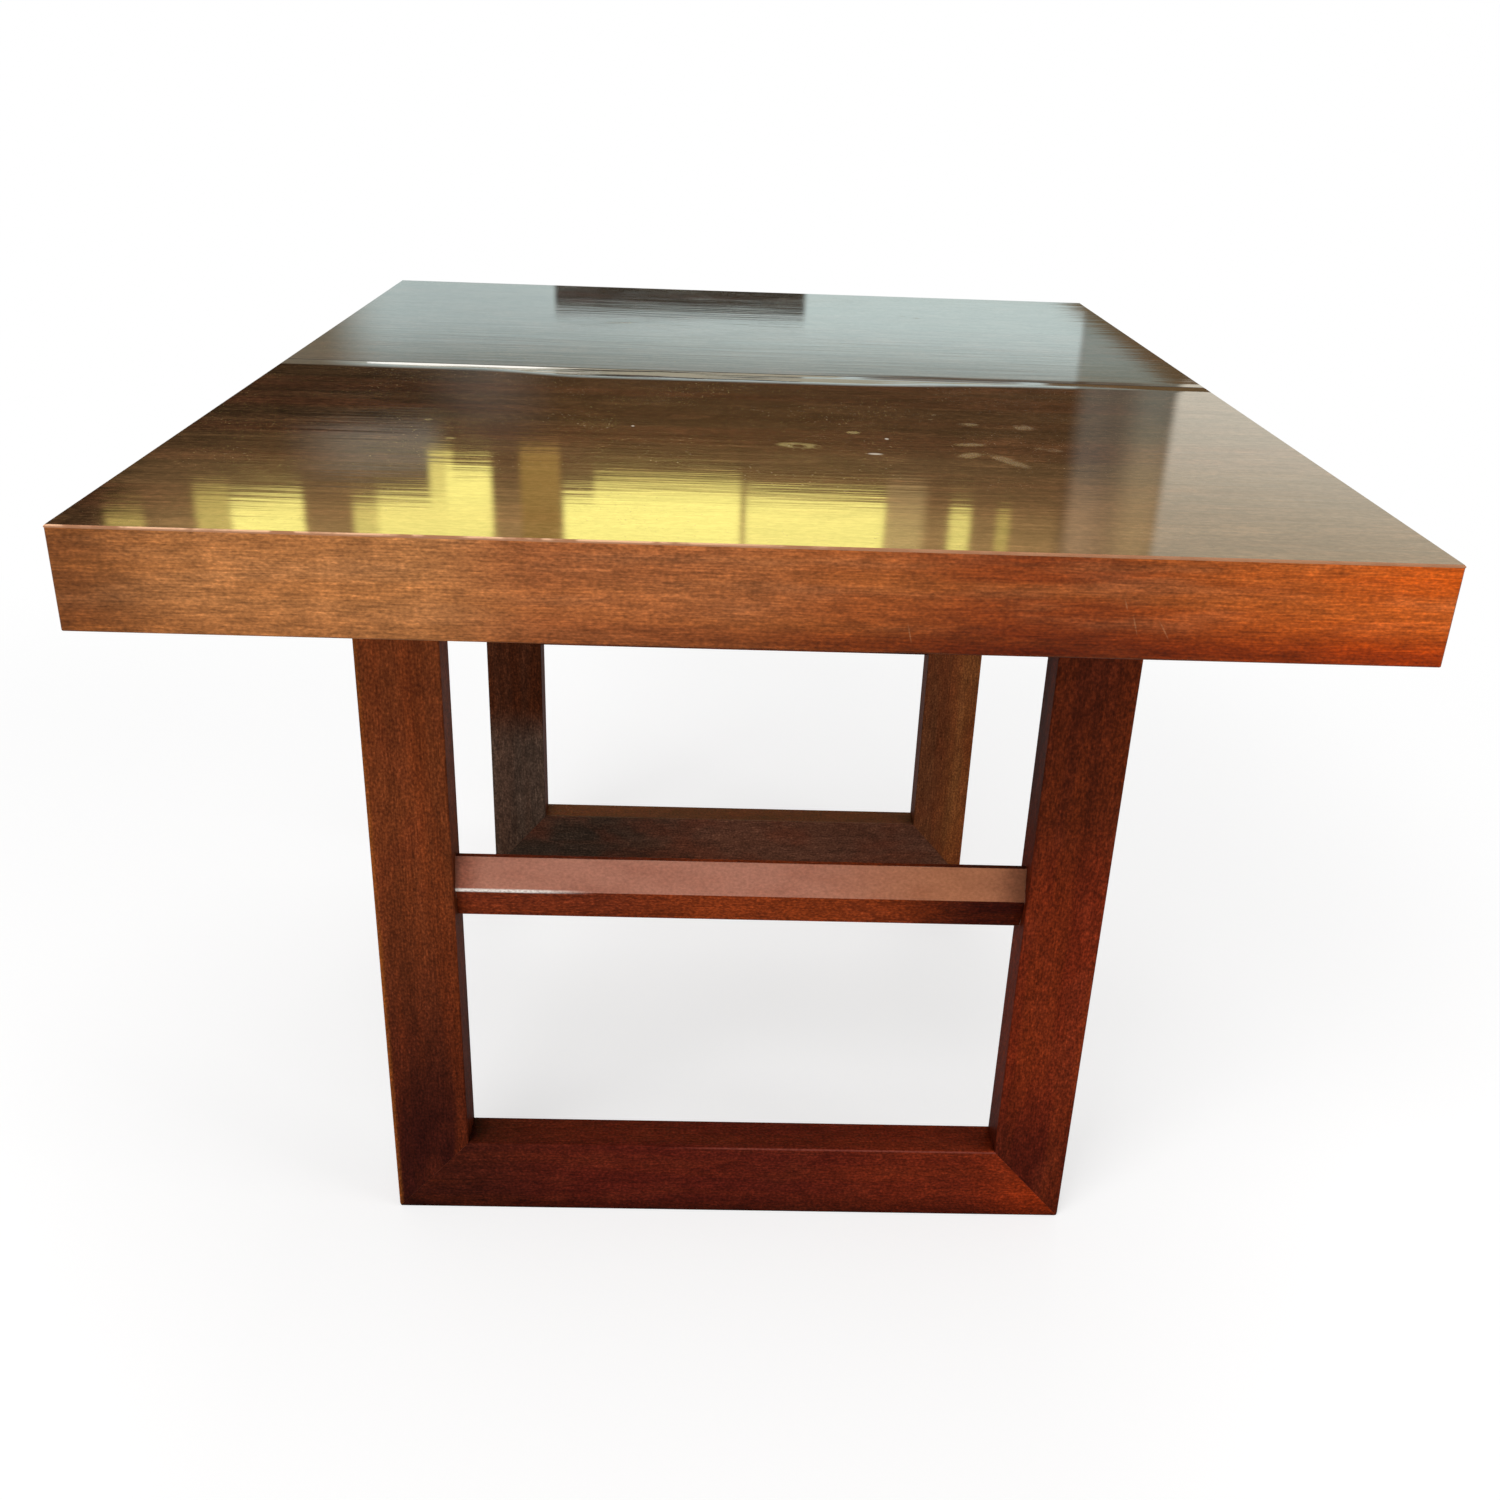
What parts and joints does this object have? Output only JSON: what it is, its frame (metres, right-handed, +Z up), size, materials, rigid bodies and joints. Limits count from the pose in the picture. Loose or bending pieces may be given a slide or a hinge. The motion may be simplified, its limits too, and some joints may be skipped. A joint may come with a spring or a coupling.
{
  "type": "extension dining table",
  "caption": "Dining table on two closed sled frames; its slab-edged top parts in the middle and draws open on wooden slides, held shut by swing catches.",
  "frame": {"origin": "on the floor, under the middle of the closed table, where the joint between the halves lies", "axes": "+X across the table to the right, +Y along it from the front half to the rear half, +Z up"},
  "size_m": [0.935, 1.22, 0.76],
  "materials": {
    "lacquered_veneer": "high gloss lacquer",
    "edge_mahogany": "satin lacquer",
    "frame_mahogany": "semi-gloss lacquer",
    "core_panel": "sealed, unpolished",
    "beech": "planed and waxed",
    "steel": "zinc plated",
    "brass": "aged brass"
  },
  "bodies": {
    "front_half": {"front_face_veneer": "lacquered_veneer", "front_panel": "core_panel", "front_end_apron": "edge_mahogany", "front_left_apron": "edge_mahogany", "front_right_apron": "edge_mahogany", "front_corner_blocks": "beech", "front_glue_blocks": "beech", "front_left_leg": "frame_mahogany", "front_right_leg": "frame_mahogany", "front_foot_rail": "frame_mahogany", "front_mitre_splines": "beech", "front_stretcher": "frame_mahogany", "front_top_rail": "frame_mahogany", "front_left_cleat": "beech", "front_right_cleat": "beech", "front_cleat_screws": "steel", "front_leg_bolts": "steel", "front_leg_nuts": "steel", "front_left_runner": "beech", "front_right_runner": "beech", "front_runner_screws": "steel", "front_stop_pins": "brass", "joint_dowels": "brass", "catch_plates": "steel", "catch_rivets": "brass", "catch_screws": "steel"},
    "slide_carriage": {"left_middle_runner": "beech", "right_middle_runner": "beech", "slide_cross_rail": "beech", "cross_rail_screws": "steel"},
    "rear_half": {"rear_face_veneer": "lacquered_veneer", "rear_panel": "core_panel", "rear_end_apron": "edge_mahogany", "rear_left_apron": "edge_mahogany", "rear_right_apron": "edge_mahogany", "rear_corner_blocks": "beech", "rear_glue_blocks": "beech", "rear_left_leg": "frame_mahogany", "rear_right_leg": "frame_mahogany", "rear_foot_rail": "frame_mahogany", "rear_mitre_splines": "beech", "rear_stretcher": "frame_mahogany", "rear_top_rail": "frame_mahogany", "rear_left_cleat": "beech", "rear_right_cleat": "beech", "rear_cleat_screws": "steel", "rear_leg_bolts": "steel", "rear_leg_nuts": "steel", "rear_left_runner": "beech", "rear_right_runner": "beech", "rear_runner_screws": "steel", "rear_stop_pins": "brass", "keepers": "steel", "keeper_screws": "steel"},
    "left_catch": {"left_catch_lever": "brass"},
    "right_catch": {"right_catch_lever": "brass"}
  },
  "joints": [
    {"name": "rear_half_slide", "type": "slide", "parent": "front_half", "child": "rear_half", "axis": [0, 1, 0], "range_m": [0, 0.6]},
    {"name": "carriage_slide", "type": "slide", "parent": "front_half", "child": "slide_carriage", "axis": [0, 1, 0], "range_m": [0, 0.3]},
    {"name": "left_catch_swing", "type": "hinge", "parent": "front_half", "child": "left_catch", "pos_m": [-0.35, -0.028, 0.7342], "axis": [0, 0, 1], "range_deg": [0, 90]},
    {"name": "right_catch_swing", "type": "hinge", "parent": "front_half", "child": "right_catch", "pos_m": [0.35, -0.028, 0.7342], "axis": [0, 0, -1], "range_deg": [0, 90]}
  ],
  "couplings": [
    {"joint": "carriage_slide", "follows": "rear_half_slide", "ratio": 0.5}
  ]
}
